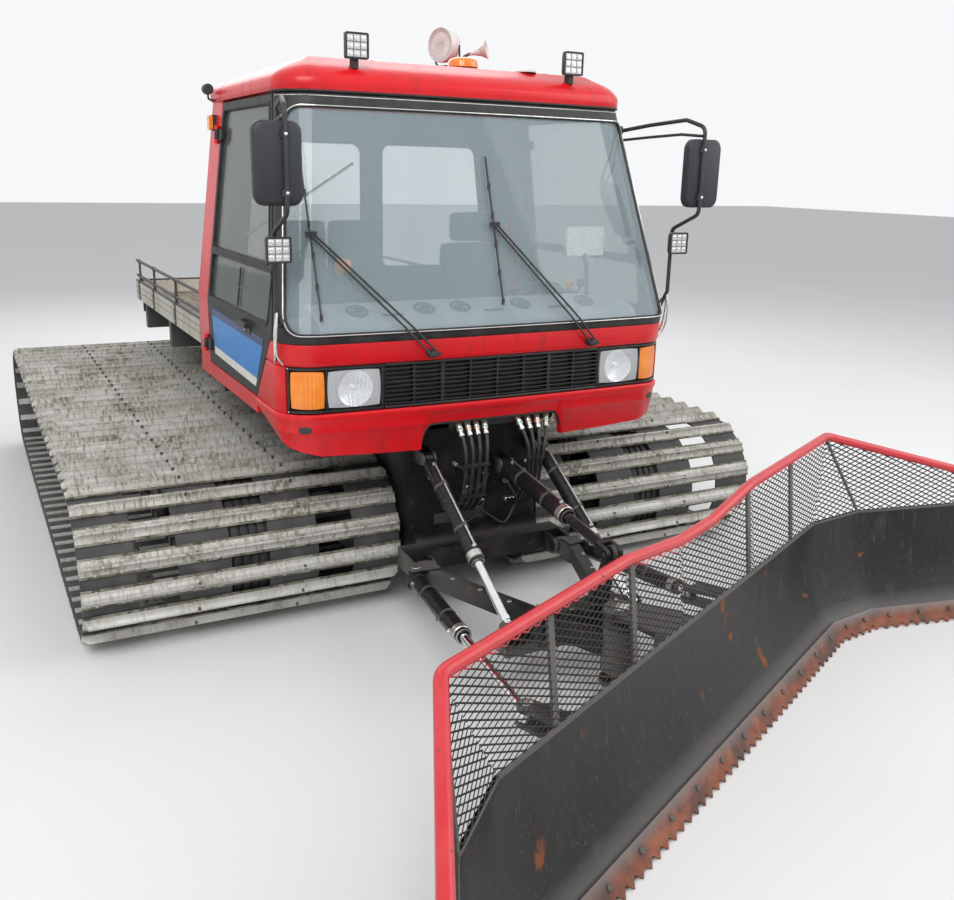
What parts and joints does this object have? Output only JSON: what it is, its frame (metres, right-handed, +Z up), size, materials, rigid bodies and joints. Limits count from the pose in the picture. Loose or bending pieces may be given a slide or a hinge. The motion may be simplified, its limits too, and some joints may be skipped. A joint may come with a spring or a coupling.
{
  "type": "snowcat groomer",
  "caption": "Red tracked snow groomer with a square cab, wide crossbar tracks, a rear load platform and a lifting, angling front blade with folded wings and a mesh guard.",
  "frame": {"origin": "on the ground at the middle of the whole outline, blade as in the picture; the machine's own middle plane is x = -0.298 m and the tracks' foremost line y = -0.638 m", "axes": "the machine faces -Y, +X is its left side, +Z is up"},
  "size_m": [4.7791, 8.2696, 3.2149],
  "materials": {
    "black_steel": "satin black paint, scuffed",
    "cast_grey": "rough",
    "floor_black": "matt",
    "red_paint": "gloss red paint",
    "grille_black": "semi-gloss black",
    "lamp_clear": "clear lens over reflector",
    "lamp_orange": "ribbed orange lens",
    "rubber_trim": "black rubber and paint",
    "glass_tint": "light green tint",
    "lamp_housing": "matt black with clear lenses",
    "black_plastic": "matt black",
    "seat_fabric": "dark woven cloth",
    "dash_grey": "grained dark grey",
    "hose_rubber": "black rubber",
    "bar_aluminium": "worn and dirty",
    "tyre_rubber": "worn black",
    "gear_grey": "dirty grey paint",
    "platform_cream": "weathered cream paint",
    "door_black": "black frame",
    "chrome_rod": "polished",
    "blade_black": "scuffed black paint",
    "rusty_steel": "rusty bare steel",
    "mesh_black": "black expanded metal"
  },
  "bodies": {
    "machine": {"chassis": "black_steel", "engine_block": "cast_grey", "cab_floor": "floor_black", "cab_front_panel": "red_paint", "front_bumper": "red_paint", "grille": "grille_black", "headlamps": "lamp_clear", "signal_lamps": "lamp_orange", "windscreen_frame": "rubber_trim", "cab_glass": "glass_tint", "cab_rear_shell": "red_paint", "cab_roof": "red_paint", "roof_lamps": "lamp_housing", "side_mirrors": "black_plastic", "wipers": "black_plastic", "cab_seats": "seat_fabric", "dashboard": "dash_grey", "hydraulic_hoses": "hose_rubber", "track_right": "bar_aluminium", "track_left": "bar_aluminium", "wheels": "tyre_rubber", "running_gear": "gear_grey", "tow_hitch": "black_steel"},
    "platform": {"platform": "platform_cream", "platform_rail": "black_steel"},
    "door_right": {"door_right": "door_black", "door_right_glass": "glass_tint"},
    "door_left": {"door_left": "door_black", "door_left_glass": "glass_tint"},
    "roof_hatch": {"roof_hatch": "red_paint"},
    "steering_wheel": {"steering_wheel": "black_plastic"},
    "lift_frame": {"lift_frame": "black_steel"},
    "lift_barrels": {"lift_cylinder_barrels": "black_steel"},
    "lift_rods": {"lift_cylinder_rods": "chrome_rod"},
    "pitch_barrel": {"pitch_cylinder_barrel": "black_steel"},
    "pitch_rod": {"pitch_cylinder_rod": "black_steel"},
    "angle_barrel_right": {"angle_barrel_right": "black_steel"},
    "angle_rod_right": {"angle_rod_right": "chrome_rod"},
    "angle_barrel_left": {"angle_barrel_left": "black_steel"},
    "angle_rod_left": {"angle_rod_left": "chrome_rod"},
    "blade": {"blade_yoke": "black_steel", "blade_board": "blade_black", "cutting_edge": "rusty_steel", "blade_guard_rail": "red_paint", "blade_guard_mesh": "mesh_black"}
  },
  "joints": [
    {"name": "blade_lift", "type": "hinge", "parent": "machine", "child": "lift_frame", "pos_m": [-0.298, -0.886, 0.361], "axis": [-1, 0, 0], "range_deg": [0, 22]},
    {"name": "blade_angle", "type": "hinge", "parent": "lift_frame", "child": "blade", "pos_m": [-0.298, -2.044, 0.361], "axis": [0, 0, 1], "range_deg": [-50, 0]},
    {"name": "lift_barrel_swing", "type": "hinge", "parent": "machine", "child": "lift_barrels", "pos_m": [-0.298, -0.74, 0.924], "axis": [-1, 0, 0], "range_deg": [-1, 15]},
    {"name": "lift_rod_slide", "type": "slide", "parent": "lift_barrels", "child": "lift_rods", "axis": [0, -0.8473, -0.5311], "range_m": [-0.172, 0.005]},
    {"name": "pitch_barrel_swing", "type": "hinge", "parent": "machine", "child": "pitch_barrel", "pos_m": [-0.172, -0.747, 0.834], "axis": [-1, 0, 0], "range_deg": [-1, 20]},
    {"name": "pitch_rod_slide", "type": "slide", "parent": "pitch_barrel", "child": "pitch_rod", "axis": [0, -0.9897, -0.1429], "range_m": [-0.185, 0.005]},
    {"name": "angle_barrel_right_swing", "type": "hinge", "parent": "lift_frame", "child": "angle_barrel_right", "pos_m": [-0.813, -0.968, 0.361], "axis": [0, 0, 1], "range_deg": [-10, 1]},
    {"name": "angle_rod_right_slide", "type": "slide", "parent": "angle_barrel_right", "child": "angle_rod_right", "axis": [-0.1125, -0.9937, 0], "range_m": [-0.617, 0.005]},
    {"name": "angle_barrel_left_swing", "type": "hinge", "parent": "lift_frame", "child": "angle_barrel_left", "pos_m": [0.217, -0.968, 0.361], "axis": [0, 0, 1], "range_deg": [-5, 1]},
    {"name": "angle_rod_left_slide", "type": "slide", "parent": "angle_barrel_left", "child": "angle_rod_left", "axis": [0.2044, -0.9789, 0], "range_m": [-0.005, 0.64]},
    {"name": "door_right_hinge", "type": "hinge", "parent": "machine", "child": "door_right", "pos_m": [-1.463, 0.665, 1.37], "axis": [-0.1023, 0, -0.9948], "range_deg": [0, 80]},
    {"name": "door_left_hinge", "type": "hinge", "parent": "machine", "child": "door_left", "pos_m": [0.867, 0.665, 1.37], "axis": [-0.1023, 0, 0.9948], "range_deg": [0, 80]},
    {"name": "hatch_hinge", "type": "hinge", "parent": "machine", "child": "roof_hatch", "pos_m": [-0.373, 0.706, 2.94], "axis": [-1, 0, 0], "range_deg": [0, 60]},
    {"name": "steering_spin", "type": "hinge", "parent": "machine", "child": "steering_wheel", "pos_m": [0.202, -0.308, 1.7], "axis": [0, 0.5, 0.866], "range_deg": [-360, 360]},
    {"name": "platform_tilt", "type": "hinge", "parent": "machine", "child": "platform", "pos_m": [-0.298, 3.492, 1.262], "axis": [-1, 0, 0], "range_deg": [0, 35]}
  ],
  "couplings": [
    {"joint": "lift_barrel_swing", "follows": "blade_lift", "ratio": 0.6289},
    {"joint": "lift_rod_slide", "follows": "blade_lift", "m_per_rad": -0.4365},
    {"joint": "pitch_barrel_swing", "follows": "blade_lift", "ratio": 0.8506},
    {"joint": "pitch_rod_slide", "follows": "blade_lift", "m_per_rad": -0.4688},
    {"joint": "angle_barrel_right_swing", "follows": "blade_angle", "ratio": 0.1672},
    {"joint": "angle_rod_right_slide", "follows": "blade_angle", "m_per_rad": 0.7014},
    {"joint": "angle_barrel_left_swing", "follows": "blade_angle", "ratio": 0.0504},
    {"joint": "angle_rod_left_slide", "follows": "blade_angle", "m_per_rad": -0.7269}
  ]
}
